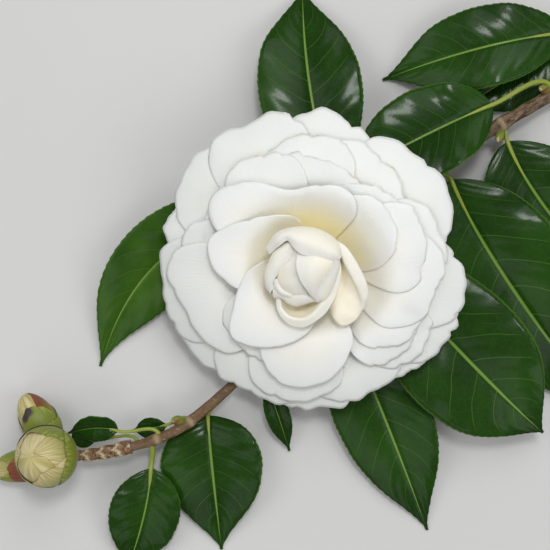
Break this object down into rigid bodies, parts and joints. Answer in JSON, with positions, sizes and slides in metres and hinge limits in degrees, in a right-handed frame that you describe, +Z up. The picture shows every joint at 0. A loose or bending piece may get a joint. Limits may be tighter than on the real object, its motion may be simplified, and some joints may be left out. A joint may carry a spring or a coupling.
{
  "type": "cut camellia branch",
  "caption": "Cut camellia branch lying on a surface: woody twig, glossy oval leaves, green flower buds and one large white double bloom facing up.",
  "frame": {"origin": "on the surface that the branch lies on, under the middle of its box", "axes": "+Z up, the way the bloom faces; +X from the flower buds towards the cut end of the twig, along the branch's longest extent; +Y across it"},
  "size_m": [0.2303, 0.203, 0.0561],
  "materials": {
    "petals": "soft matt white petal with a faint sheen, cream towards the heart",
    "leaves": "waxy glossy dark green leaf with paler midrib and margin",
    "bud_scales": "smooth yellow-green scales with brown and purple tips",
    "bark": "thin grey-brown bark, finely cracked along the twig"
  },
  "bodies": {
    "root": {"main_twig": "bark", "budding_shoot": "bark", "calyx": "bud_scales", "bloom": "petals", "leaf_upper_glossy": "leaves", "leaf_outer_right": "leaves", "leaf_long_right": "leaves", "leaf_lower_right": "leaves", "leaf_lower": "leaves", "leaf_top": "leaves", "leaf_left": "leaves", "leaf_corner": "leaves", "leaf_far_top": "leaves", "leaf_narrow": "leaves", "leaf_beside_bud": "leaves", "leaf_shoot_upper": "leaves", "leaf_shoot_small": "leaves", "leaf_shoot_lower": "leaves", "leaf_shoot_broad": "leaves", "bud_upper": "bud_scales", "bud_front": "bud_scales", "bud_left": "bud_scales"}
  },
  "joints": []
}
